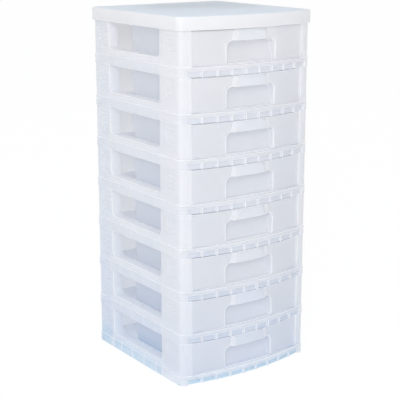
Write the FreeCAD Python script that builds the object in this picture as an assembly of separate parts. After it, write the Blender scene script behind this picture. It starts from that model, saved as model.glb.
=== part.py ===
import FreeCAD, Part
import math
import os

# A free-standing drawer tower for paper and craft stock: eight alike moulded frames piled on
# one another, a drawer sliding in each, and a lid on top. All sizes are in millimetres.
# +Z is up, the drawers face -Y, and the origin is under the middle of the tower, on the floor.

# The tower.
tower_width = 390.0
side_depth = 386.0
front_bow = 27.0
corner_radius = 10.0
tier_count = 8
tier_pitch = 108.0
lid_height = 32.0
lid_overhang = 5.0
far_out = 60.0

# The frame of one tier. An inset is how far a face stands in from the widest outline.
wall = 2.5
skirt_height = 24.0
skirt_wall = 3.0
skirt_step = 1.5
post_width = 30.0
front_post_depth = 84.5
rear_post_depth = 74.0
sill_height = 40.0
window_corner = 15.0
side_rib_pitch = 55.0
side_rib_count = 4
rib_width = 3.0
rail_rib_pitch = 39.6
rail_pocket_count = 9
rail_pocket_height = 14.5
rail_pocket_depth = 6.0
back_rib_pitch = 55.0
back_rib_count = 6
back_rib_width = 4.0

# The spigots on the posts, which stand in the hollow posts of the tier above.
spigot_height = 5.0
spigot_gap = 0.5

# The lid.
lid_plate = 3.0
lid_rib_pitch = 79.2
lid_rib_count = 4

# The drawer.
drawer_base = 24.4
drawer_top = 105.0
drawer_wall = 2.2
face_inset = 7.0
face_half_width = 164.5
face_base = 26.0
tray_half_width = 160.0
tray_rim_height = 105.0
tray_rim_lip = 2.5
tray_taper = 5.0
tray_corner = 20.0
tray_base_radius = 12.0
tray_back = 94.0

# The finger recess in the drawer's face, and the hood over it.
recess_half_width = 72.0
recess_base = 28.0
recess_top = 80.0
recess_corner = 16.0
recess_depth_low = 14.0
recess_depth_high = 28.0
hood_top_half_width = 43.0
hood_base_half_width = 48.0
hood_flare = 15.0
hood_flare_depth = 11.0
hood_lip_inset = 0.5
hood_top_inset = 5.0
hook_half_width = 41.0
hook_top = 99.0
hook_depth = 20.0

# Places that follow from the sizes above.
half_width = tower_width / 2
front_line = -(side_depth - front_bow) / 2
back_line = front_line + side_depth
bow_radius = (half_width ** 2 + front_bow ** 2) / (2 * front_bow)
bow_centre = front_line - front_bow + bow_radius
bay_half_width = half_width - post_width
post_inner = bay_half_width + wall
front_jamb = front_line + front_post_depth
rear_jamb = back_line - rear_post_depth
face_apex = front_line - front_bow + face_inset


def point(x, y, z):
    return FreeCAD.Vector(x, y, z)


def box(x_low, x_high, y_low, y_high, z_low, z_high):
    corner = point(x_low, y_low, z_low)
    return Part.makeBox(x_high - x_low, y_high - y_low, z_high - z_low, corner)


def mirrored(shape):
    return shape.mirror(point(0, 0, 0), point(1, 0, 0))


def bow_y(x, inset):
    """The bowed front, as a Y for an X. An inset moves it in along the arc's own radius."""
    return bow_centre - math.sqrt((bow_radius - inset) ** 2 - x ** 2)


def bowed_wire(x_low, x_high, inset, back_y, z):
    """An outline with the bowed front, straight sides and a straight back."""
    left = point(x_low, bow_y(x_low, inset), z)
    middle_x = (x_low + x_high) / 2
    middle = point(middle_x, bow_y(middle_x, inset), z)
    right = point(x_high, bow_y(x_high, inset), z)
    back_right = point(x_high, back_y, z)
    back_left = point(x_low, back_y, z)
    front = Part.Arc(left, middle, right).toShape()
    right_side = Part.makeLine(right, back_right)
    back = Part.makeLine(back_right, back_left)
    left_side = Part.makeLine(back_left, left)
    return Part.Wire([front, right_side, back, left_side])


def bowed_block(x_low, x_high, inset, back_y, z_low, z_high):
    wire = bowed_wire(x_low, x_high, inset, back_y, z_low)
    return Part.Face(wire).extrude(point(0, 0, z_high - z_low))


def leaning_block(x_half, inset_low, inset_high, back_y, z_low, z_high):
    """A bowed block whose front leans: its inset changes from the bottom to the top."""
    bottom = bowed_wire(-x_half, x_half, inset_low, back_y, z_low)
    top = bowed_wire(-x_half, x_half, inset_high, back_y, z_high)
    return Part.makeLoft([bottom, top], True, True)


def upright_edges(shape, z_low, z_high):
    height = z_high - z_low
    upright = []
    for edge in shape.Edges:
        if abs(edge.BoundBox.ZLength - height) < 0.01 and edge.BoundBox.XLength < 0.01:
            upright.append(edge)
    return upright


def slab(inset, z_low, z_high):
    """The tower's whole outline, moved in by the inset, with its four rounded corners."""
    half = half_width - inset
    block = bowed_block(-half, half, inset, back_line - inset, z_low, z_high)
    return block.makeFillet(corner_radius - inset, upright_edges(block, z_low, z_high))


def window_profile(z_high):
    """A window's outline, seen from the side: round at its two lower corners, open at its top."""
    radius = window_corner
    slant = radius * (1 - math.sqrt(0.5))
    front = front_jamb
    rear = rear_jamb
    base = sill_height
    x = bay_half_width - 1
    front_arc = Part.Arc(
        point(x, front, base + radius),
        point(x, front + slant, base + slant),
        point(x, front + radius, base),
    ).toShape()
    rear_arc = Part.Arc(
        point(x, rear - radius, base),
        point(x, rear - slant, base + slant),
        point(x, rear, base + radius),
    ).toShape()
    sill = Part.makeLine(point(x, front + radius, base), point(x, rear - radius, base))
    rear_side = Part.makeLine(point(x, rear, base + radius), point(x, rear, z_high))
    top = Part.makeLine(point(x, rear, z_high), point(x, front, z_high))
    front_side = Part.makeLine(point(x, front, z_high), point(x, front, base + radius))
    return Part.Wire([front_arc, sill, rear_arc, rear_side, top, front_side])


def window_cut():
    profile = Part.Face(window_profile(tier_pitch + spigot_height))
    return profile.extrude(point(post_width + far_out, 0, 0))


def post_hollows():
    """The spaces inside the two right-hand posts, open below, each under a closed top."""
    top = tier_pitch - wall
    high_inset = skirt_step + wall
    behind_rail = rail_pocket_depth + wall
    front_end = front_jamb - wall
    rear_end = rear_jamb + wall
    upper = slab(high_inset, skirt_height, top)
    lower = slab(skirt_wall, 0, skirt_height)
    x_out = half_width
    y_out = front_line - far_out
    front_upper = upper.common(box(post_inner, x_out, y_out, front_end, 0, top))
    rear_upper = upper.common(box(post_inner, x_out, rear_end, back_line, 0, top))
    rear_lower = lower.common(box(post_inner, x_out, rear_end, back_line, 0, skirt_height))
    front_lower = bowed_block(post_inner, half_width - skirt_wall, behind_rail, front_end, 0, skirt_height)
    return [front_upper, rear_upper, front_lower, rear_lower]


def side_ribs():
    """The middles of the ribs that run across the tower, under its sills and floors and lid."""
    side_middle = (front_line + back_line) / 2
    first = side_middle - side_rib_pitch * (side_rib_count - 1) / 2
    return [first + side_rib_pitch * index for index in range(side_rib_count)]


def sill_hollows():
    """The spaces between the ribs under the right-hand sill, open below."""
    top = sill_height - wall
    starts = [front_jamb]
    ends = []
    for rib in side_ribs():
        ends.append(rib - rib_width / 2)
        starts.append(rib + rib_width / 2)
    ends.append(rear_jamb)
    hollows = []
    for start, end in zip(starts, ends):
        hollows.append(box(post_inner, half_width - skirt_wall, start, end, 0, skirt_height))
        upper_out = half_width - skirt_step - wall
        hollows.append(box(post_inner, upper_out, start, end, skirt_height, top))
    return hollows


def rail_ribs():
    """The middles of the ribs in the front rail, from left to right."""
    first = -rail_rib_pitch * rail_pocket_count / 2
    return [first + rail_rib_pitch * index for index in range(rail_pocket_count + 1)]


def rail_pockets():
    """The row of pockets in the front rail, open to the front and below."""
    ribs = rail_ribs()
    behind = slab(rail_pocket_depth, 0, rail_pocket_height)
    pockets = []
    for left, right in zip(ribs[:-1], ribs[1:]):
        x_low = left + rib_width / 2
        x_high = right - rib_width / 2
        ahead = box(x_low, x_high, front_line - far_out, front_line, 0, rail_pocket_height)
        pockets.append(ahead.cut(behind))
    return pockets


def floor_hollows():
    """The spaces between the crossed ribs under the floor that the drawer slides on."""
    edges = [-bay_half_width]
    for rib in rail_ribs()[1:-1]:
        edges.append(rib - rib_width / 2)
        edges.append(rib + rib_width / 2)
    edges.append(bay_half_width)
    inset = rail_pocket_depth + wall
    back_y = back_line - skirt_wall
    top = skirt_height - wall
    hollows = []
    for x_low, x_high in zip(edges[0::2], edges[1::2]):
        channel = bowed_block(x_low, x_high, inset, back_y, 0, top)
        crossing = []
        for rib in side_ribs():
            crossing.append(box(x_low, x_high, rib - rib_width / 2, rib + rib_width / 2, 0, top))
        hollows.append(channel.cut(crossing))
    return hollows


def spigots():
    """The low closed spigots on the two right-hand posts, and the hollows inside them."""
    x_low = post_inner + spigot_gap
    x_high = half_width - skirt_step - wall - spigot_gap
    front_inset = rail_pocket_depth + wall + spigot_gap
    front_end = front_jamb - wall - spigot_gap
    rear_start = rear_jamb + wall + spigot_gap
    rear_end = back_line - skirt_step - wall - spigot_gap
    base = tier_pitch - wall
    top = tier_pitch + spigot_height
    front = bowed_block(x_low, x_high, front_inset, front_end, base, top)
    rear = box(x_low, x_high, rear_start, rear_end, base, top)
    corner = corner_radius - skirt_step - wall
    rear_corner = []
    for edge in upright_edges(rear, base, top):
        if edge.CenterOfMass.x > x_high - 1 and edge.CenterOfMass.y > rear_end - 1:
            rear_corner.append(edge)
    rear = rear.makeFillet(corner, rear_corner)
    hollow_low = x_low + wall
    hollow_high = x_high - wall
    hollow_top = top - wall
    front_hollow = bowed_block(
        hollow_low, hollow_high, front_inset + wall, front_end - wall, base - wall, hollow_top
    )
    rear_hollow = box(
        hollow_low, hollow_high, rear_start + wall, rear_end - wall, base - wall, hollow_top
    )
    return [front, rear], [front_hollow, rear_hollow]


def back_ribs():
    first = -back_rib_pitch * (back_rib_count - 1) / 2
    face = back_line - skirt_step - wall / 2
    top = tier_pitch - back_rib_width
    ribs = []
    for index in range(back_rib_count):
        middle = first + back_rib_pitch * index
        half = back_rib_width / 2
        ribs.append(box(middle - half, middle + half, face, back_line, skirt_height / 2, top))
    return ribs


def tier_frame():
    """One frame: floor, front rail, four hollow posts, ribbed sills and back, in one moulding."""
    body = slab(0, 0, skirt_height).fuse(slab(skirt_step, skirt_height, tier_pitch))
    bay_back = back_line - skirt_step - wall
    bay_front = front_line - far_out
    bay = box(-bay_half_width, bay_half_width, bay_front, bay_back, skirt_height, tier_pitch + 1)
    solid_spigots, spigot_hollows = spigots()
    body = body.cut([bay, window_cut(), mirrored(window_cut())])
    body = body.fuse(solid_spigots + [mirrored(shape) for shape in solid_spigots] + back_ribs())
    hollows = post_hollows() + sill_hollows() + spigot_hollows
    hollows = hollows + [mirrored(shape) for shape in hollows]
    body = body.cut(hollows + rail_pockets() + floor_hollows())
    return body.removeSplitter()


def lid():
    """The flat lid: a plate with a deep outer skirt, and a ring and ribs that rest on the frame."""
    base = tier_count * tier_pitch
    top = base + lid_height
    plate_base = top - lid_plate
    shell = slab(-lid_overhang, base, top)
    shell = shell.cut(slab(wall - lid_overhang, base, plate_base))
    ring = slab(skirt_step, base, plate_base).cut(slab(skirt_step + wall, base, plate_base))
    first = -lid_rib_pitch * (lid_rib_count - 1) / 2
    inside = slab(skirt_step + wall / 2, base, plate_base)
    ribs = []
    for index in range(lid_rib_count):
        middle = first + lid_rib_pitch * index
        half = rib_width / 2
        strip = box(middle - half, middle + half, front_line - far_out, back_line, base, plate_base)
        ribs.append(strip.common(inside))
    for middle in side_ribs():
        half = rib_width / 2
        strip = box(-half_width, half_width, middle - half, middle + half, base, plate_base)
        ribs.append(strip.common(inside))
    return shell.fuse([ring] + ribs).removeSplitter()


def rounded_rectangle(x_half, y_low, y_high, radius, z):
    """A flat outline with four rounded corners, for the two ends of the tray's taper."""
    block = box(-x_half, x_half, y_low, y_high, z, z + 1)
    block = block.makeFillet(radius, upright_edges(block, z, z + 1))
    bottom = min(block.Faces, key=lambda face: face.CenterOfMass.z)
    return bottom.OuterWire


def tapered_tray(shrink, floor_z, inset):
    """The drawer's tapered box, shrunk all round, trimmed in front by the bowed face."""
    front_y = face_apex - far_out
    low_half = tray_half_width - tray_taper - shrink
    high_half = tray_half_width - shrink
    low_back = tray_back - tray_taper - shrink
    low = rounded_rectangle(low_half, front_y, low_back, tray_corner - shrink, floor_z)
    high = rounded_rectangle(high_half, front_y, tray_back - shrink, tray_corner - shrink, tray_rim_height)
    tray = Part.makeLoft([low, high], True, True)
    base_edges = [edge for edge in tray.Edges if edge.BoundBox.ZMax < floor_z + 0.01]
    tray = tray.makeFillet(tray_base_radius - shrink, base_edges)
    keep = bowed_block(-half_width, half_width, inset, back_line, floor_z, tray_rim_height)
    return tray.common(keep)


def recess_outline(grow):
    """The finger recess seen from the front: square below, round at its two upper corners."""
    half = recess_half_width + grow
    base = recess_base - grow
    top = recess_top + grow
    radius = recess_corner + grow
    block = box(-half, half, face_apex - far_out, face_apex + far_out, base, top)
    upper = []
    for edge in block.Edges:
        if edge.BoundBox.YLength > 1 and edge.CenterOfMass.z > top - 1:
            upper.append(edge)
    return block.makeFillet(radius, upper)


def recess(grow):
    """The space of the finger recess, deeper at its top, or its shell when grown by a wall."""
    base = recess_base - grow
    top = recess_top + grow
    low_y = face_apex + recess_depth_low + grow
    high_y = face_apex + recess_depth_high + grow
    front_y = face_apex - far_out + 1
    half = recess_half_width + grow
    corners = [
        point(-half, front_y, base),
        point(-half, low_y, base),
        point(-half, high_y, top),
        point(-half, front_y, top),
    ]
    side = Part.Face(Part.makePolygon(corners + corners[:1]))
    return side.extrude(point(2 * half, 0, 0)).common(recess_outline(grow))


def hood():
    """The raised hood over the recess, bowed like the face and standing proud most at its lip."""
    back_y = face_apex - hood_lip_inset + hood_flare_depth - face_inset
    front_y = back_y - hood_flare_depth
    outlines = []
    for y, flare in ((front_y, 0.0), (back_y, hood_flare)):
        low_half = hood_base_half_width + flare
        high_half = hood_top_half_width + flare
        corners = [
            point(-low_half, y, recess_top),
            point(low_half, y, recess_top),
            point(high_half, y, drawer_top),
            point(-high_half, y, drawer_top),
        ]
        outlines.append(Part.makePolygon(corners + corners[:1]))
    flared = Part.makeLoft(outlines, True, True)
    widest = hood_base_half_width + hood_flare
    bowed = leaning_block(widest, hood_lip_inset, hood_top_inset, back_y, recess_top, drawer_top)
    return flared.common(bowed)


def hook_space():
    """The space behind the hood, where fingertips hook up from the recess."""
    back_y = face_apex + hook_depth
    rise = (hook_top - recess_top) / (drawer_top - recess_top)
    inner_low = hood_lip_inset + drawer_wall
    inner_high = inner_low + (hood_top_inset - hood_lip_inset) * rise
    return leaning_block(hook_half_width, inner_low, inner_high, back_y, recess_top - 1, hook_top)


def hook_shell():
    half = hook_half_width + drawer_wall
    back_y = face_apex + hook_depth + drawer_wall
    return bowed_block(-half, half, face_inset, back_y, recess_top, hook_top + drawer_wall)


def drawer():
    """One drawer: a tapered tray and its bowed face with recess and hood, in one moulding."""
    outside = tapered_tray(0, drawer_base, face_inset)
    inside = tapered_tray(drawer_wall, drawer_base + drawer_wall, face_inset + wall)
    lip_half = tray_half_width + tray_rim_lip
    lip_base = tray_rim_height - wall
    lip_inset = face_inset + wall / 2
    lip_back = tray_back + tray_rim_lip
    lip = bowed_block(-lip_half, lip_half, lip_inset, lip_back, lip_base, tray_rim_height)
    tray = outside.fuse(lip).cut(inside)
    face_back = back_line
    face = bowed_block(-face_half_width, face_half_width, face_inset, face_back, face_base, drawer_top)
    wide = face_half_width + 1
    behind = bowed_block(-wide, wide, face_inset + wall, face_back + 1, face_base - 1, drawer_top + 1)
    face = face.cut(behind)
    recess_shell = recess(drawer_wall).common(
        bowed_block(-half_width, half_width, face_inset, back_line, drawer_base, drawer_top)
    )
    whole = tray.fuse([face, recess_shell, hook_shell(), hood()])
    return whole.cut([recess(0), hook_space()]).removeSplitter()


def save(shape, name):
    solid = shape.Solids[0]
    state = "valid" if shape.isValid() and len(shape.Solids) == 1 else "NOT ONE VALID SOLID"
    print(name, state, "volume in litres", round(solid.Volume / 1e6, 3))
    solid.exportStep(os.path.join("parts", name + ".step"))


os.makedirs("parts", exist_ok=True)
frame_shape = tier_frame()
drawer_shape = drawer()
for tier in range(tier_count):
    rise = point(0, 0, tier * tier_pitch)
    save(frame_shape.translated(rise), "tier_frame_" + str(tier + 1))
    save(drawer_shape.translated(rise), "drawer_" + str(tier + 1))
save(lid(), "lid")
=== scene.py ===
import math
import bmesh
import bpy
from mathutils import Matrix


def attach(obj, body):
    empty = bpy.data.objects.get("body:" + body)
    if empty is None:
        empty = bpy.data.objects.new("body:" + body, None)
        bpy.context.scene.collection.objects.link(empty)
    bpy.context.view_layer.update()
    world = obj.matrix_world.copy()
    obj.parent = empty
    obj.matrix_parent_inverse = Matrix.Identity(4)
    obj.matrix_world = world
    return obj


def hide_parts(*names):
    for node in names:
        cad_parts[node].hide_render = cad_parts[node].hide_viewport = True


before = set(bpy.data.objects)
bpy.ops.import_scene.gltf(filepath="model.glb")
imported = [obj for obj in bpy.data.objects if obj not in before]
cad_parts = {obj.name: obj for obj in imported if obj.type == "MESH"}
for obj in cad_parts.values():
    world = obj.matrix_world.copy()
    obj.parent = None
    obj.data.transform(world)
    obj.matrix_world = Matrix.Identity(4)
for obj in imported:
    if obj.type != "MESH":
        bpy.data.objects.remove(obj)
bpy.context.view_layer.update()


# The studio: a wide floor under a sky, both shown to the camera as almost plain white, as in a catalogue
# picture. One large soft lamp stands at the front left, a metre above the tower's top, and the sky's
# light weakens towards the right and the rear, so that what faces front and left is brightest.
floor_reach = 30.0
floor_shade = (0.86, 0.87, 0.89, 1.0)
floor_white = 0.90
sky_shade = (1.0, 1.0, 1.0, 1.0)
sky_strength = 0.735
sky_fall = 0.14
key_place = (-2.3, -2.65, 1.9)
key_power = 56.0
key_width = 1.6
aim_point = (0.0, 0.0, 0.45)


class Wire:
    """A socket of a shader. Sums and products of it add Math nodes, and node() adds any other."""

    def __init__(self, tree, socket=None):
        self.tree = tree
        self.socket = socket

    def node(self, kind, settings, values, output=0):
        made = self.tree.nodes.new(kind)
        for name, setting in settings.items():
            setattr(made, name, setting)
        for name, value in values.items():
            if isinstance(value, Wire):
                self.tree.links.new(value.socket, made.inputs[name])
            else:
                made.inputs[name].default_value = value
        return Wire(self.tree, made.outputs[output])

    def end(self, kind):
        """Joins this socket to the material's or the world's own output."""
        last = self.tree.nodes.new(kind)
        self.tree.links.new(self.socket, last.inputs["Surface"])

    def maths(self, operation, first, second, clamp=False):
        settings = {"operation": operation, "use_clamp": clamp}
        return self.node("ShaderNodeMath", settings, {0: first, 1: second})

    def __add__(self, other):
        return self.maths("ADD", self, other)

    def __sub__(self, other):
        return self.maths("SUBTRACT", self, other)

    def __rsub__(self, other):
        return self.maths("SUBTRACT", other, self)

    def __mul__(self, other):
        return self.maths("MULTIPLY", self, other)

    def kept(self):
        """The same value, held between nought and one."""
        return self.maths("ADD", self, 0.0, clamp=True)

    __radd__ = __add__
    __rmul__ = __mul__


def blank_shader(owner):
    owner.use_nodes = True
    owner.node_tree.nodes.clear()
    return Wire(owner.node_tree)


def seen_rays(wire):
    """One for a ray from the camera, from a gloss or through a clear wall, else nought."""
    camera_ray = wire.node("ShaderNodeLightPath", {}, {}, "Is Camera Ray")
    gloss_ray = wire.node("ShaderNodeLightPath", {}, {}, "Is Glossy Ray")
    clear_ray = wire.node("ShaderNodeLightPath", {}, {}, "Is Transmission Ray")
    return (camera_ray + gloss_ray + clear_ray).kept()


def aimed(place, target):
    """The turn that points a lamp or a camera at the target."""
    way = [t - p for t, p in zip(target, place)]
    across = math.hypot(way[0], way[1])
    return (math.atan2(across, -way[2]), 0.0, math.atan2(way[1], way[0]) - math.pi / 2)


bpy.ops.object.select_all(action="DESELECT")
bpy.ops.mesh.primitive_plane_add(size=floor_reach, location=(0.0, 0.0, -0.0005))
studio_floor = bpy.context.object
studio_floor.name = "studio_floor"
floor_paint = bpy.data.materials.new("studio_floor_paint")
paint = blank_shader(floor_paint)
matt = paint.node("ShaderNodeBsdfDiffuse", {}, {"Color": floor_shade})
white = paint.node("ShaderNodeEmission", {}, {"Color": sky_shade, "Strength": 1.03})
paint.node("ShaderNodeMixShader", {}, {0: seen_rays(paint) * floor_white, 1: matt, 2: white}).end(
    "ShaderNodeOutputMaterial"
)
studio_floor.data.materials.append(floor_paint)

sky = bpy.data.worlds.new("studio_sky")
bpy.context.scene.world = sky
air = blank_shader(sky)
way = air.node("ShaderNodeTexCoord", {}, {}, "Generated")
way_right = air.node("ShaderNodeSeparateXYZ", {}, {"Vector": way}, "X")
way_back = air.node("ShaderNodeSeparateXYZ", {}, {"Vector": way}, "Y")
sky_level = sky_strength - (way_right * 0.8 + way_back * 0.6) * sky_fall
lit_sky = air.node("ShaderNodeBackground", {}, {"Color": sky_shade, "Strength": sky_level})
seen_sky = air.node("ShaderNodeBackground", {}, {"Color": sky_shade, "Strength": 1.0})
whole_sky = air.node("ShaderNodeMixShader", {}, {0: seen_rays(air), 1: lit_sky, 2: seen_sky})
whole_sky.end("ShaderNodeOutputWorld")

bpy.ops.object.light_add(type="AREA", location=key_place, rotation=aimed(key_place, aim_point))
key_lamp = bpy.context.object
key_lamp.name = "key_softbox"
key_lamp.data.energy = key_power
key_lamp.data.size = key_width

# The camera stands as the photograph's did, a little left of the front corner and above the lid.
# The photograph's upright edges are parallel, which takes a level camera with a very large shift;
# this one is tilted down instead and shifted only slightly, so that other views stay in the frame.
camera_place = (-1.5516, -2.1537, 1.0895)
camera_yaw = math.radians(35.62)
camera_pitch = math.radians(13.39)
camera_focus_pixels = 1058.1
frame_pixels = 400
camera_rise = -0.05
camera_data = bpy.data.cameras.new("catalogue_camera")
camera_data.sensor_width = 36.0
camera_data.lens = camera_focus_pixels / frame_pixels * camera_data.sensor_width
camera_data.shift_y = camera_rise
camera = bpy.data.objects.new("catalogue_camera", camera_data)
camera.location = camera_place
camera.rotation_euler = (math.pi / 2 - camera_pitch, 0.0, -camera_yaw)
bpy.context.scene.collection.objects.link(camera)
bpy.context.scene.camera = camera
bpy.context.scene.view_settings.view_transform = "Standard"
bpy.context.scene.cycles.use_denoising = True
bpy.context.scene.cycles.transparent_max_bounces = 64
bpy.context.scene.cycles.max_bounces = 28
bpy.context.scene.cycles.diffuse_bounces = 20
bpy.context.scene.cycles.transmission_bounces = 20


# Tier frames: eight alike mouldings of milky polypropylene, each a ribbed floor with a bowed front rail,
# four hollow corner posts, a ribbed sill under each side window and a ribbed back. They push
# together by the posts' spigots, and each frame's skirt stands a little proud of the posts below it.
mm = 0.001
hair = 0.00001
tier_count = 8
tier_pitch = 108.0
half_width = 195.0
side_depth = 386.0
front_bow = 27.0
corner_radius = 10.0
front_line = -(side_depth - front_bow) / 2
back_line = front_line + side_depth
bow_radius = (half_width ** 2 + front_bow ** 2) / (2 * front_bow)
bow_centre = front_line - front_bow + bow_radius
bow_steps = 18
bow_turn = math.asin(half_width / bow_radius) / bow_steps
wall = 2.5
skirt_height = 24.0
skirt_wall = 3.0
skirt_step = 1.5
bay_half_width = half_width - 30.0
post_inner = bay_half_width + wall
front_jamb = front_line + 84.5
rear_jamb = back_line - 74.0
sill_height = 40.0
window_corner = 15.0
rail_pitch = 39.6
pocket_count = 9
pocket_height = 14.5
pocket_depth = 6.0
behind_rail = pocket_depth + wall
rib = 3.0
beyond = 60.0
ahead_of_all = front_line - beyond
high_above = 200.0
sharp_angle = math.radians(25)
smooth_angle = math.radians(32)


def show_only(piece):
    """Selects one piece and nothing else, and makes it the one that operators act on."""
    if bpy.context.object and bpy.context.object.mode != "OBJECT":
        bpy.ops.object.mode_set(mode="OBJECT")
    bpy.ops.object.select_all(action="DESELECT")
    piece.select_set(True)
    bpy.context.view_layer.objects.active = piece


def pick(piece, kind, test):
    """In edit mode, selects only the vertices, edges or faces that pass the test."""
    bpy.ops.mesh.select_mode(type={"verts": "VERT", "edges": "EDGE", "faces": "FACE"}[kind])
    bpy.ops.mesh.select_all(action="DESELECT")
    shape = bmesh.from_edit_mesh(piece.data)
    for part in getattr(shape, kind):
        part.select = test(part)
    shape.select_flush_mode()
    bmesh.update_edit_mesh(piece.data)


def edge_span(edge):
    """How far an edge runs along X, Y and Z, in millimetres."""
    a, b = edge.verts[0].co, edge.verts[1].co
    return [abs(a[i] - b[i]) / mm for i in range(3)]


def edge_middle(edge):
    a, b = edge.verts[0].co, edge.verts[1].co
    return [(a[i] + b[i]) / 2 / mm for i in range(3)]


def upright(edge):
    span = edge_span(edge)
    return span[2] > 1.0 and span[0] < 0.01 and span[1] < 0.01


def block(x, y, z):
    """A box between two places on each axis, in millimetres."""
    bpy.ops.object.select_all(action="DESELECT")
    middle = [(low + high) / 2 * mm for low, high in (x, y, z)]
    size = [(high - low) * mm for low, high in (x, y, z)]
    bpy.ops.mesh.primitive_cube_add(size=1.0, location=middle)
    piece = bpy.context.object
    piece.scale = size
    bpy.ops.object.transform_apply(location=True, rotation=True, scale=True)
    return piece


def bowed_strip(x_half, inset, z):
    """An upright edge spun about the bow's centre, in the same even steps at every inset, and trimmed."""
    bpy.ops.object.select_all(action="DESELECT")
    bpy.ops.mesh.primitive_plane_add(size=mm)
    piece = bpy.context.object
    bpy.ops.object.mode_set(mode="EDIT")
    pick(piece, "verts", lambda vertex: vertex.co.x > 0)
    bpy.ops.mesh.delete(type="VERT")
    steps = bow_steps + 1
    reach = bow_radius - inset
    start_x = -reach * math.sin(bow_turn * steps)
    start_y = bow_centre - reach * math.cos(bow_turn * steps)
    shape = bmesh.from_edit_mesh(piece.data)
    for vertex, height in zip(shape.verts, z):
        vertex.co = (start_x * mm, start_y * mm, height * mm)
    bmesh.update_edit_mesh(piece.data)
    bpy.ops.mesh.select_all(action="SELECT")
    middle = (0.0, bow_centre * mm, 0.0)
    bpy.ops.mesh.spin(steps=2 * steps, angle=-2 * bow_turn * steps, center=middle, axis=(0.0, 0.0, 1.0))
    for side in (-1.0, 1.0):
        bpy.ops.mesh.select_all(action="SELECT")
        edge = (side * x_half * mm, 0.0, 0.0)
        bpy.ops.mesh.bisect(plane_co=edge, plane_no=(side, 0.0, 0.0), clear_outer=True, threshold=hair)
    return piece


def bowed_block(x_half, inset, back, z, corner=0.0):
    """A block with the bowed front, straight sides and back, and its upright corners rounded."""
    piece = bowed_strip(x_half, inset, z)
    side = back * mm - max(vertex.co.y for vertex in bmesh.from_edit_mesh(piece.data).verts)
    pick(piece, "edges", lambda edge: upright(edge) and edge_middle(edge)[0] > x_half - 0.01)
    for step in ((0.0, side, 0.0), (-2 * x_half * mm, 0.0, 0.0), (0.0, -side, 0.0)):
        bpy.ops.mesh.extrude_region_move(TRANSFORM_OT_translate={"value": step})
    bpy.ops.mesh.select_all(action="SELECT")
    bpy.ops.mesh.remove_doubles(threshold=hair)
    bpy.ops.mesh.fill_holes(sides=0)
    bpy.ops.mesh.normals_make_consistent(inside=False)
    if corner:
        near = x_half - 1.02 * corner
        last = x_half - 0.01
        pick(piece, "edges", lambda edge: upright(edge) and near < abs(edge_middle(edge)[0]) < last)
        bpy.ops.mesh.dissolve_edges(use_verts=True)
        pick(piece, "edges", lambda edge: upright(edge) and abs(edge_middle(edge)[0]) > last)
        bpy.ops.mesh.bevel(offset=corner * mm, segments=6, affect="EDGES")
    bpy.ops.object.mode_set(mode="OBJECT")
    return piece


def outline(inset, z):
    """The tower's whole outline between two heights, moved in by the inset."""
    return bowed_block(half_width - inset, inset, back_line - inset, z, corner_radius - inset)


def combine(piece, tool, operation):
    """Cuts the tool from a piece, joins it on, or keeps what the two share."""
    change = piece.modifiers.new("combine", "BOOLEAN")
    change.operation = operation
    change.solver = "EXACT"
    change.object = tool
    show_only(piece)
    bpy.ops.object.modifier_apply(modifier=change.name)
    bpy.data.objects.remove(tool)


def cut(piece, *tools):
    for tool in tools:
        combine(piece, tool, "DIFFERENCE")


def join_on(piece, *tools):
    for tool in tools:
        combine(piece, tool, "UNION")


def keep_shared(piece, tool):
    combine(piece, tool, "INTERSECT")
    return piece


def across(piece):
    """A copy of a piece, mirrored to the tower's other side."""
    show_only(piece)
    bpy.ops.object.duplicate()
    other = bpy.context.object
    other.scale = (-1.0, 1.0, 1.0)
    bpy.ops.object.transform_apply(location=True, rotation=True, scale=True)
    bpy.ops.object.mode_set(mode="EDIT")
    bpy.ops.mesh.select_all(action="SELECT")
    bpy.ops.mesh.normals_make_consistent(inside=False)
    bpy.ops.object.mode_set(mode="OBJECT")
    return other


def soften(piece, width, segments=3):
    """Rounds every sharp edge, fills any small hole that this leaves, and marks the rounding on the mesh,
    where the plastic paints a highlight.
    """
    show_only(piece)
    bpy.ops.object.mode_set(mode="EDIT")
    bpy.ops.mesh.select_all(action="SELECT")
    bpy.ops.mesh.remove_doubles(threshold=hair)
    bpy.ops.mesh.dissolve_limited(angle_limit=math.radians(0.2))
    bpy.ops.object.mode_set(mode="OBJECT")
    piece.data.materials.clear()
    round_off = piece.modifiers.new("round_off", "BEVEL")
    round_off.width = width * mm
    round_off.segments = segments
    round_off.limit_method = "ANGLE"
    round_off.angle_limit = sharp_angle
    round_off.use_clamp_overlap = False
    round_off.material = 1
    piece.data.materials.append(None)
    piece.data.materials.append(None)
    bpy.ops.object.modifier_apply(modifier=round_off.name)
    bpy.ops.object.mode_set(mode="EDIT")
    bpy.ops.mesh.select_all(action="SELECT")
    bpy.ops.mesh.remove_doubles(threshold=hair)
    bpy.ops.mesh.dissolve_degenerate(threshold=hair)
    pick(piece, "edges", lambda edge: edge.is_boundary)
    bpy.ops.mesh.fill_holes(sides=0)
    bpy.ops.object.mode_set(mode="OBJECT")
    bpy.ops.object.shade_smooth_by_angle(angle=smooth_angle)
    mark = piece.data.attributes.new("rounding", "FLOAT", "CORNER")
    for face in piece.data.polygons:
        for corner in face.loop_indices:
            mark.data[corner].value = face.material_index
    for face in piece.data.polygons:
        face.material_index = 0
    piece.data.materials.clear()


tier_frame = outline(0.0, (0.0, skirt_height))
join_on(tier_frame, outline(skirt_step, (skirt_height - 1.0, tier_pitch)))
bay_back = back_line - skirt_step - wall
bay = (-bay_half_width, bay_half_width)
cut(tier_frame, block(bay, (ahead_of_all, bay_back), (skirt_height, high_above)))

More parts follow.
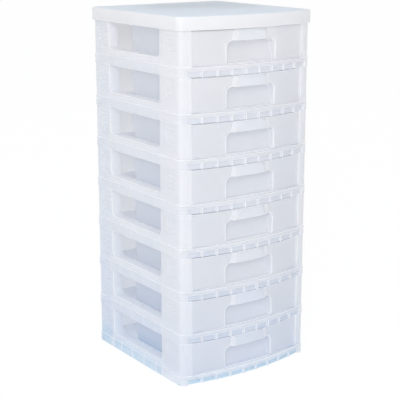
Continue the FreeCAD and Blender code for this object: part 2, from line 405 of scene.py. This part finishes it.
through_side = (bay_half_width - 2, half_width + beyond)
window = block(through_side, (front_jamb, rear_jamb), (sill_height, high_above))
bpy.ops.object.mode_set(mode="EDIT")
pick(window, "edges", lambda edge: edge_span(edge)[0] > 1 and edge_middle(edge)[2] < sill_height + 1)
bpy.ops.mesh.bevel(offset=window_corner * mm, segments=6, affect="EDGES")
bpy.ops.object.mode_set(mode="OBJECT")
cut(tier_frame, across(window), window)

post_top = tier_pitch - wall
solid_corner = (ahead_of_all, front_line + 12.0)
for y_low, y_high in ((ahead_of_all, front_jamb - wall), (rear_jamb + wall, back_line)):
    hollow = outline(skirt_step + wall, (-1.0, post_top))
    keep_shared(hollow, block((post_inner, half_width), (y_low, y_high), (-2.0, post_top + 1)))
    if y_low < front_line:
        cut(hollow, block((post_inner - 1, half_width), solid_corner, (-2.0, skirt_height)))
    cut(tier_frame, across(hollow), hollow)

side_rib_pitch = 55.0
side_ribs = [(front_line + back_line) / 2 + side_rib_pitch * (index - 1.5) for index in range(4)]
rib_faces = [place + side * rib / 2 for place in side_ribs for side in (-1, 1)]
sill_ends = [front_jamb] + rib_faces + [rear_jamb]
sill_inside = (post_inner, half_width - skirt_step - wall)
for y_low, y_high in zip(sill_ends[0::2], sill_ends[1::2]):
    hollow = block(sill_inside, (y_low, y_high), (-1.0, sill_height - wall))
    cut(tier_frame, across(hollow), hollow)


def rib_at(place):
    """Both faces of a rib, from its middle."""
    return (place - rib / 2, place + rib / 2)


rail_ribs = [rail_pitch * (index - pocket_count / 2) for index in range(pocket_count + 1)]
all_pockets = (rail_ribs[0] + rib / 2, rail_ribs[-1] - rib / 2)
pockets = block(all_pockets, (ahead_of_all, front_line + 5), (-1.0, pocket_height))
cut(pockets, outline(pocket_depth, (-2.0, pocket_height + 1)))
for place in rail_ribs[1:-1]:
    cut(pockets, block(rib_at(place), (ahead_of_all - 1, front_line + 6), (-2.0, pocket_height + 1)))
cut(tier_frame, pockets)

hollow_floor = bowed_block(half_width, behind_rail, back_line - skirt_wall, (-1.0, skirt_height - wall))
keep_shared(hollow_floor, block(bay, (ahead_of_all, back_line), (-2.0, skirt_height)))
for place in rail_ribs[1:-1]:
    cut(hollow_floor, block(rib_at(place), (ahead_of_all, back_line), (-3.0, skirt_height + 1)))
for place in side_ribs:
    cut(hollow_floor, block((-half_width, half_width), rib_at(place), (-3.0, skirt_height + 1)))
cut(tier_frame, hollow_floor)

back_rib_half = 2.0
back_rib_reach = (back_line - 2.7, back_line)
back_rib_rise = (skirt_height + 2.6, tier_pitch - 4.0)
for index in range(6):
    middle = side_rib_pitch * (index - 2.5)
    sides = (middle - back_rib_half, middle + back_rib_half)
    join_on(tier_frame, block(sides, back_rib_reach, back_rib_rise))

# The spigots on the posts, which stand in the hollow posts of the tier above.
spigot_gap = 0.5
spigot_top = tier_pitch + 5.0
spigot_out = half_width - skirt_step - wall - spigot_gap
spigot_corner = 4.0
for y_low, y_high in (
    (front_line + 4.0, front_jamb - wall - spigot_gap),
    (rear_jamb + wall + spigot_gap, back_line - skirt_step - wall - spigot_gap),
):
    spigot = block((post_inner + spigot_gap, spigot_out), (y_low, y_high), (post_top, spigot_top))
    bpy.ops.object.mode_set(mode="EDIT")
    pick(spigot, "edges", upright)
    bpy.ops.mesh.bevel(offset=spigot_corner * mm, segments=4, affect="EDGES")
    bpy.ops.object.mode_set(mode="OBJECT")
    join_on(tier_frame, across(spigot), spigot)

soften(tier_frame, 0.8)


def bar(size, level, place):
    """A rounded bar, level along Y or upright, for pressing a shallow channel into a wall."""
    bpy.ops.object.select_all(action="DESELECT")
    bpy.ops.mesh.primitive_cylinder_add(vertices=12, radius=0.5, depth=1.0)
    piece = bpy.context.object
    if level:
        piece.rotation_euler = (math.pi / 2, 0.0, 0.0)
    bpy.ops.object.transform_apply(location=True, rotation=True, scale=True)
    piece.scale = [value * mm for value in size]
    piece.location = [value * mm for value in place]
    bpy.ops.object.transform_apply(location=True, rotation=True, scale=True)
    return piece


# The rows of level grooves on the posts' outer sides, the flute beside each drawer and the gate mark.
groove_pitch = 6.3
groove_width = 3.2
groove_deep = 2.0
front_grooves = (-159.5, -121.5, 58.0, 7)
rear_grooves = (134.5, 179.5, 39.0, 10)
post_side = half_width - skirt_step
channels = []
for y_low, y_high, z_low, count in (front_grooves, rear_grooves):
    for index in range(count):
        place = (post_side, (y_low + y_high) / 2, z_low + groove_pitch * index)
        channels.append(bar((groove_deep, y_high - y_low, groove_width), True, place))


def bow_at(x):
    """Where the front post's bowed face stands along Y, at this place along X."""
    return bow_centre - math.sqrt((bow_radius - skirt_step) ** 2 - x ** 2)


flute_x = 172.0
flute_size = (4.0, 1.6, 78.0)
channels.append(bar(flute_size, False, (flute_x, bow_at(flute_x), 67.0)))
mark_x = 176.6
mark_place = (mark_x * mm, bow_at(mark_x) * mm, 30.0 * mm)
bpy.ops.object.select_all(action="DESELECT")
bpy.ops.mesh.primitive_uv_sphere_add(segments=12, ring_count=8, radius=2.0 * mm, location=mark_place)
channels.append(bpy.context.object)
show_only(channels[0])
for channel in channels[1:]:
    channel.select_set(True)
bpy.ops.object.join()
cut(tier_frame, across(channels[0]), channels[0])
show_only(tier_frame)
bpy.ops.object.shade_smooth_by_angle(angle=smooth_angle)


def blend(share, first, second):
    """A mix of two colours, by a share between nought and one."""
    return share.node("ShaderNodeMix", {"data_type": "RGBA"}, {"Factor": share, 6: first, 7: second}, 2)


def plastic(name, pale, deep, density, through, roughness, top_painted_shade=0.0, painted_shade=None, painted_highlight=None):
    """Milky polypropylene: near white, with painted shade that makes it darker and bluer near the floor, on
    faces that look up if asked, and where a given mask marks shade, such as where a hollow lies behind the
    skin.

    A weak glow stands in for the light that real walls scatter inside them. Edges, and what a second given
    mask
    marks, carry a painted highlight: they glow more, are paler and let less through, to match the
    photograph.
    """
    made = bpy.data.materials.new(name)
    made.cycles.emission_sampling = "NONE"
    start = blank_shader(made)
    place = start.node("ShaderNodeTexCoord", {}, {}, "Object")
    x, y, z = (start.node("ShaderNodeSeparateXYZ", {}, {"Vector": place}, axis) for axis in "XYZ")
    cloud = start.node("ShaderNodeTexNoise", {}, {"Vector": place, "Scale": 9.0, "Detail": 3.0}, "Fac")
    grain = start.node("ShaderNodeTexNoise", {}, {"Vector": place, "Scale": 900.0, "Detail": 2.0}, "Fac")
    # The rounding mark carries the painted highlight on edges.
    edge = start.node("ShaderNodeAttribute", {"attribute_name": "rounding"}, {}, "Fac")
    # A painted highlight where the given mask is one, treated as an edge.
    if painted_highlight:
        edge = (edge + painted_highlight(x, y, z)).kept()
    normal = start.node("ShaderNodeNewGeometry", {}, {}, "Normal")
    facing_up = start.node("ShaderNodeSeparateXYZ", {}, {"Vector": normal}, "Z")
    # Painted shade: darker and bluer towards the floor, most within 70 mm of it, and a little more below 0.8
    # m.
    painted_low_shade = (0.32 - z).kept() * 0.9 + (1.0 - z * 14.0).kept() * 0.3
    painted_low_shade = painted_low_shade + z.maths("MINIMUM", (0.8 - z) * 0.3, 0.09)
    # Painted shade: faces that look up are drawn darker and bluer, for the shaded hollow under a thin plate.
    top = (facing_up - 0.5).kept() * top_painted_shade
    blueness = painted_low_shade + top + cloud * 0.3 - 0.12
    deepest = deep
    # Painted shade where the given mask is one, stronger lower down, and darker still near the foot.
    if painted_shade:
        hollow = painted_shade(x, y, z)
        blueness = blueness + hollow * ((0.45 - z).kept() * 0.9 + 0.35)
        deepest = blend((1.0 - z * 16.0).kept() * hollow, deep, foot_painted_shade)
    # Edges are paler: a painted highlight.
    shade = blend(blueness.kept() * (1.0 - edge * 0.7), pale, deepest)
    rough = grain * 0.10 + cloud * 0.06 + roughness
    bump = start.node("ShaderNodeBump", {}, {"Strength": 0.10, "Distance": 0.0002, "Height": grain})
    # Its emission is painted light: a weak glow from every face and a brighter painted highlight on edges.
    skin = start.node(
        "ShaderNodeBsdfPrincipled",
        {},
        {
            "Base Color": shade,
            "Roughness": rough,
            "Normal": bump,
            "IOR": 1.49,
            "Specular IOR Level": 0.4,
            "Emission Color": blend(edge, inner_glow, rim_glow),
            "Emission Strength": 1.0,
        },
    )
    lit_through = start.node("ShaderNodeBsdfTranslucent", {}, {"Color": shade})
    body = start.node("ShaderNodeMixShader", {}, {0: through, 1: skin, 2: lit_through})
    clear = start.node("ShaderNodeBsdfTransparent", {}, {"Color": (0.985, 0.988, 0.993, 1.0)})
    solid = (edge * (1.0 - density) * 0.8 + cloud * 0.06 + density).kept()
    start.node("ShaderNodeMixShader", {}, {0: solid, 1: clear, 2: body}).end("ShaderNodeOutputMaterial")
    return made


def over(value, least, steepness):
    """Nought up to a least place in millimetres, rising to one above it."""
    return ((value - least * mm) * steepness).kept()


def under(value, most, steepness):
    """One well below a place in millimetres, falling to nought at it."""
    return ((most * mm - value) * steepness).kept()


def size_of(value):
    return value.maths("ABSOLUTE", value, 0.0)


def distance(first, second):
    return first.maths("SQRT", first * first + second * second, 0.0)


def share_out(model, name, node, material, bodies, count):
    model.data.materials.clear()
    model.data.materials.append(material)
    for tier in range(1, count + 1):
        show_only(model)
        bpy.ops.object.duplicate()
        piece = bpy.context.object
        piece.name = name + str(tier)
        piece.location.z = (tier - 1) * tier_pitch * mm
        bpy.ops.object.transform_apply(location=True, rotation=True, scale=True)
        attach(piece, bodies(tier))
        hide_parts(node + str(tier))
    bpy.data.objects.remove(model)


def frame_thin(x, y, z):
    """Painted shade: one at the sills between their ribs and at the rail's pockets, and 0.8 on the rear
    posts.
    """
    height = z.maths("MODULO", z, tier_pitch * mm)
    from_rib = y.maths("PINGPONG", y - side_ribs[0] * mm, side_rib_pitch / 2 * mm)
    from_middle = size_of(y - (front_jamb + rear_jamb) / 2 * mm)
    aside = size_of(x)
    along = under(from_middle, (rear_jamb - front_jamb) / 2, 800.0)
    outside = over(aside, half_width - skirt_step - 1.0, 3000.0)
    below = under(height, skirt_height + 6.0, 250.0)
    sills = over(from_rib, rib / 2, 500.0) * along * outside * below
    deep = bow_radius * mm - distance(x, y - bow_centre * mm)
    behind = over(deep, pocket_depth - 1, 2000.0) * under(deep, behind_rail + 1, 2000.0)
    pockets = behind * under(height, pocket_height + 0.5, 1000.0)
    rear_post = over(y, rear_jamb + 4.0, 60.0) * over(aside, bay_half_width, 200.0)
    return (sills + pockets + rear_post * 0.8).kept()


# Painted light: the glow of every face, and the brighter glow of edges, a painted highlight.
inner_glow = (0.042, 0.042, 0.043, 1.0)
rim_glow = (0.10, 0.10, 0.102, 1.0)
# The colour of the painted shade in hollows near the floor.
foot_painted_shade = (0.62, 0.79, 0.90, 1.0)
# The pale colour, and the darker, bluer one that the painted shade and the random cloud mix towards.
frame_pale = (0.938, 0.940, 0.948, 1.0)
frame_deep = (0.835, 0.88, 0.945, 1.0)
frame_plastic = plastic("frame_plastic", frame_pale, frame_deep, 0.64, 0.46, 0.30, painted_shade=frame_thin)
tower = lambda tier: "tower"
share_out(tier_frame, "tier_moulding_", "tier_frame_", frame_plastic, tower, tier_count)


# Drawers: eight alike trays of the same milky polypropylene, thinner than the frames, each moulded
# with its bowed face, a finger recess and a raised hood over it. They slide on the frames' floors,
# between the posts and under the frame or lid above, with no runners.
drawer_base = 24.4
drawer_top = 105.0
drawer_wall = 2.2
face_inset = 7.0
face_half_width = 164.5
face_base = 24.8
tray_half_width = 160.0
tray_lip = 2.5
tray_taper = 5.0
tray_corner = 20.0
tray_base_radius = 12.0
tray_back = 94.0
face_wall = 2.5
spare = 3.0
face_apex = front_line - front_bow + face_inset
recess_half = 72.0
recess_base = 28.0
recess_top = 80.0
recess_corner = 16.0
recess_low = 14.0
recess_high = 28.0


def tray_block(shrink, base, inset):
    """The tray's tapered, round-cornered block, shrunk all round, trimmed in front by the bow."""
    half = tray_half_width - shrink
    piece = block((-half, half), (face_apex - beyond, tray_back - shrink), (base, drawer_top))
    bpy.ops.object.mode_set(mode="EDIT")
    pick(piece, "edges", upright)
    bpy.ops.mesh.bevel(offset=(tray_corner - shrink) * mm, segments=7, affect="EDGES")
    pick(piece, "verts", lambda vertex: vertex.co.z < (base + 1) * mm)
    bpy.ops.transform.resize(value=(1 - tray_taper / half, 1.0, 1.0), center_override=(0.0, 0.0, 0.0))
    pick(piece, "verts", lambda vertex: vertex.co.z < (base + 1) * mm and vertex.co.y > 0)
    bpy.ops.transform.translate(value=(0.0, -tray_taper * mm, 0.0))
    pick(piece, "edges", lambda edge: all(vertex.co.z < (base + 1) * mm for vertex in edge.verts))
    bpy.ops.mesh.bevel(offset=(tray_base_radius - shrink) * mm, segments=6, affect="EDGES")
    pick(piece, "faces", lambda face: all(vertex.co.z > (drawer_top - 1) * mm for vertex in face.verts))
    bpy.ops.mesh.extrude_region_move(TRANSFORM_OT_translate={"value": (0.0, 0.0, (spare + shrink) * mm)})
    bpy.ops.object.mode_set(mode="OBJECT")
    keep_shared(piece, bowed_block(half_width, inset, back_line, (base - 1, drawer_top + 2 * spare)))
    return piece


def recess_block(grow, ahead):
    """The finger recess as a block, deeper at its top: round upper corners and a leaning back."""
    deep = face_apex + recess_high + grow
    base = recess_base - grow
    top = recess_top + grow
    piece = block((-recess_half - grow, recess_half + grow), (ahead, deep + 20), (base, top))
    bpy.ops.object.mode_set(mode="EDIT")
    pick(piece, "edges", lambda edge: edge_span(edge)[1] > 1 and edge_middle(edge)[2] > top - 1)
    bpy.ops.mesh.bevel(offset=(recess_corner + grow) * mm, segments=7, affect="EDGES")
    bpy.ops.mesh.select_all(action="SELECT")
    lean = (recess_high - recess_low) / (recess_top - recess_base)
    bpy.ops.mesh.bisect(
        plane_co=(0.0, deep * mm, top * mm), plane_no=(0.0, 1.0, -lean), use_fill=True, clear_outer=True
    )
    pick(piece, "edges", lambda edge: all(vertex.co.y > (face_apex + 5) * mm for vertex in edge.verts))
    bpy.ops.mesh.bevel(offset=(4.0 + grow) * mm, segments=4, affect="EDGES")
    bpy.ops.object.mode_set(mode="OBJECT")
    return piece


def leaning_strip(x_half, inset_low, inset_high, back, z):
    """A bowed block whose front leans back towards its top."""
    piece = bowed_block(x_half, inset_low, back, z)
    bpy.ops.object.mode_set(mode="EDIT")
    high = (z[1] - 0.1) * mm
    pick(piece, "verts", lambda vertex: vertex.co.z > high and vertex.co.y < (back - 0.1) * mm)
    bpy.ops.transform.translate(value=(0.0, (inset_high - inset_low) * mm, 0.0))
    bpy.ops.object.mode_set(mode="OBJECT")
    return piece


# The tray and its rim. Rim, face and hood are made taller than the drawer's top, and one cut levels them.
drawer = tray_block(0.0, drawer_base, face_inset + face_wall / 2)
rim_bow = face_inset + face_wall * 0.4
rim_rise = (drawer_top - face_wall, drawer_top + spare)
join_on(drawer, bowed_block(tray_half_width + tray_lip, rim_bow, tray_back + tray_lip, rim_rise))
cut(drawer, tray_block(drawer_wall, drawer_base + drawer_wall, face_inset + face_wall * 0.75))

# The bowed face in front of it.
face = bowed_block(face_half_width, face_inset, back_line, (face_base, drawer_top + spare))
face_inside = (face_base - 1, drawer_top + 2 * spare)
cut(face, bowed_block(half_width, face_inset + face_wall, back_line + 1, face_inside))
join_on(drawer, face)

# The recess's shell and the hook's shell behind the face.
inside_face = face_inset + face_wall / 3
shell = recess_block(drawer_wall, face_apex - 8)
keep_shared(shell, bowed_block(half_width, inside_face, back_line, (drawer_base, drawer_top)))
hook_half = 41.0
hook_top = 99.0
hook_back = face_apex + 20.0
hook_rise = (recess_top - 1, hook_top + drawer_wall)
hook = bowed_block(hook_half + drawer_wall, inside_face, hook_back + drawer_wall, hook_rise)
join_on(drawer, shell, hook)

# The hood: a block whose flared sides run out on the face, cut back by a bowed front that leans, so that
# its lip stands out most. Each corner gives the half width there, and the sides are ruled between them.
hood_lip = 0.5
hood_fall = 4.5
hood_lean = hood_fall / (drawer_top - recess_top)
hood_foot = recess_top - 2.0
hood_head = drawer_top + spare
hood_deep = 11.0
hood_back = face_apex - hood_lip + hood_deep - face_inset
hood_root_half = 60.6
hood_front_half_low = 46.5
hood_front_half_high = 10.6
hood = block((-hood_root_half, hood_root_half), (hood_back - hood_deep, hood_back), (hood_foot, hood_head))
bpy.ops.object.mode_set(mode="EDIT")
for half, z in ((hood_front_half_low, hood_foot), (hood_front_half_high, hood_head)):
    for side in (-1, 1):
        front = lambda vertex: vertex.co.y < (hood_back - 1) * mm and vertex.co.x * side > 0
        pick(hood, "verts", lambda vertex: front(vertex) and abs(vertex.co.z - z * mm) < mm)
        bpy.ops.transform.translate(value=(side * (half - hood_root_half) * mm, 0.0, 0.0))
pick(hood, "edges", lambda edge: edge_span(edge)[2] > 1)
bpy.ops.mesh.subdivide(number_cuts=5)
bpy.ops.object.mode_set(mode="OBJECT")
hood_top_inset = hood_lip + hood_lean * (hood_head + 1 - recess_top)
hood_trim_half = 80.0
hood_rise = (recess_top - 3, hood_head + 1)
keep_shared(hood, leaning_strip(hood_trim_half, hood_lip, hood_top_inset, hood_back + 1, hood_rise))
join_on(drawer, hood)

# The recess, the space behind the hood and the level top.
cut(drawer, recess_block(0.0, face_apex - beyond))
hook_low = hood_lip + drawer_wall
hook_high = hook_low + 0.75 * hood_fall
cut(drawer, leaning_strip(hook_half, hook_low, hook_high, hook_back, (recess_top - 1, hook_top)))
cut(drawer, block((-half_width, half_width), (ahead_of_all, back_line), (drawer_top, drawer_top + beyond)))
soften(drawer, 0.6)

# The hood's flared sides look brighter in the photograph, so they are marked half as an edge, a painted
# highlight.
flank_start = hook_half + drawer_wall
flank_end = hood_root_half + 1.0
painted_highlight_mark = drawer.data.attributes["rounding"]
for face in drawer.data.polygons:
    aside = abs(face.center.x) / mm
    ahead = face.center.y / mm < face_apex + face_inset
    if flank_start < aside < flank_end and ahead and 0.13 < abs(face.normal.x) < 0.9:
        for corner in face.loop_indices:
            painted_highlight_mark.data[corner].value = 0.5


def drawer_thick(x, y, z):
    """Painted highlight: one along the line where the recess's shell stands behind the face, beside the hood
    and below.
    """
    height = z.maths("MODULO", z, tier_pitch * mm)
    aside = size_of(x)
    above = x.maths("MAXIMUM", height - (recess_top - recess_corner) * mm, 0.0)
    beside = x.maths("MAXIMUM", aside - (recess_half - recess_corner) * mm, 0.0)
    far = distance(above, beside) - (recess_corner + drawer_wall / 2) * mm
    line = (1.0 - size_of(far) * 450.0).kept()
    clear_of_hood = over(aside, hood_root_half - 3.0, 400.0)
    front = under(y, face_apex + face_inset + 2.0, 400.0)
    return line * clear_of_hood * front * over(height, recess_base, 400.0)


def drawer_thin(x, y, z):
    """Painted shade: one on the tray's sides, which stand in the shade between the posts, and 0.6 on the
    hood's front.
    """
    height = z.maths("MODULO", z, tier_pitch * mm)
    aside = size_of(x)
    side = over(aside, tray_half_width - tray_taper - 6.0, 200.0) * over(y, front_line + 12.0, 200.0)
    hood_front = under(aside, hook_half + 3.0, 400.0) * over(height, recess_top, 400.0)
    return side + hood_front * under(y, face_apex + 4.0, 400.0) * 0.6


# The pale colour, and the darker, bluer one that the painted shade and the random cloud mix towards.
drawer_pale = (0.946, 0.948, 0.955, 1.0)
drawer_deep = (0.825, 0.87, 0.94, 1.0)
drawer_plastic = plastic(
    "drawer_plastic", drawer_pale, drawer_deep, 0.60, 0.46, 0.26, painted_shade=drawer_thin, painted_highlight=drawer_thick
)
own_body = lambda tier: "drawer_" + str(tier)
share_out(drawer, "drawer_moulding_", "drawer_", drawer_plastic, own_body, tier_count)


# Lid: one flat moulding of the same plastic with a slightly bluer cast, a plate with a deep outer skirt.
# A ring and crossed ribs under the plate rest on the top frame, whose spigots stand inside the ring.
lid_base = tier_count * tier_pitch
lid_top = lid_base + 32.0
lid_overhang = 4.9
plate_base = lid_top - 3.0
lid = outline(-lid_overhang, (lid_base, lid_top))
bpy.ops.object.mode_set(mode="EDIT")
pick(lid, "edges", lambda edge: all(vertex.co.z > (lid_top - 0.01) * mm for vertex in edge.verts))
bpy.ops.mesh.bevel(offset=3.0 * mm, segments=4, affect="EDGES")
bpy.ops.object.mode_set(mode="OBJECT")
cut(lid, outline(wall - lid_overhang, (lid_base - 1, plate_base)))
ring = outline(skirt_step, (lid_base, plate_base + 1))
cut(ring, outline(skirt_step + wall, (lid_base - 1, plate_base + 2)))
join_on(lid, ring)
lid_rib_pitch = 2 * rail_pitch
lid_rib_rise = (lid_base, plate_base + 1)
for index in range(4):
    middle = lid_rib_pitch * (index - 1.5)
    lid_rib = outline(skirt_step + wall / 2, lid_rib_rise)
    keep_shared(lid_rib, block(rib_at(middle), (ahead_of_all, back_line), (lid_base - 1, lid_top)))
    join_on(lid, lid_rib)
for middle in side_ribs:
    join_on(lid, block((3 - half_width, half_width - 3), rib_at(middle), lid_rib_rise))
soften(lid, 0.6)
lid.name = "lid_moulding"
# The pale colour, and the darker, bluer one that the painted shade and the random cloud mix towards.
lid_pale = (0.92, 0.92, 0.928, 1.0)
lid_deep = (0.835, 0.92, 0.999, 1.0)
# The 1.6 is painted shade: the lid's upward faces are drawn darker and bluer.
lid_plastic = plastic("lid_plastic", lid_pale, lid_deep, 0.78, 0.40, 0.28, 1.6)
lid.data.materials.clear()
lid.data.materials.append(lid_plastic)
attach(lid, "tower")
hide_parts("lid")
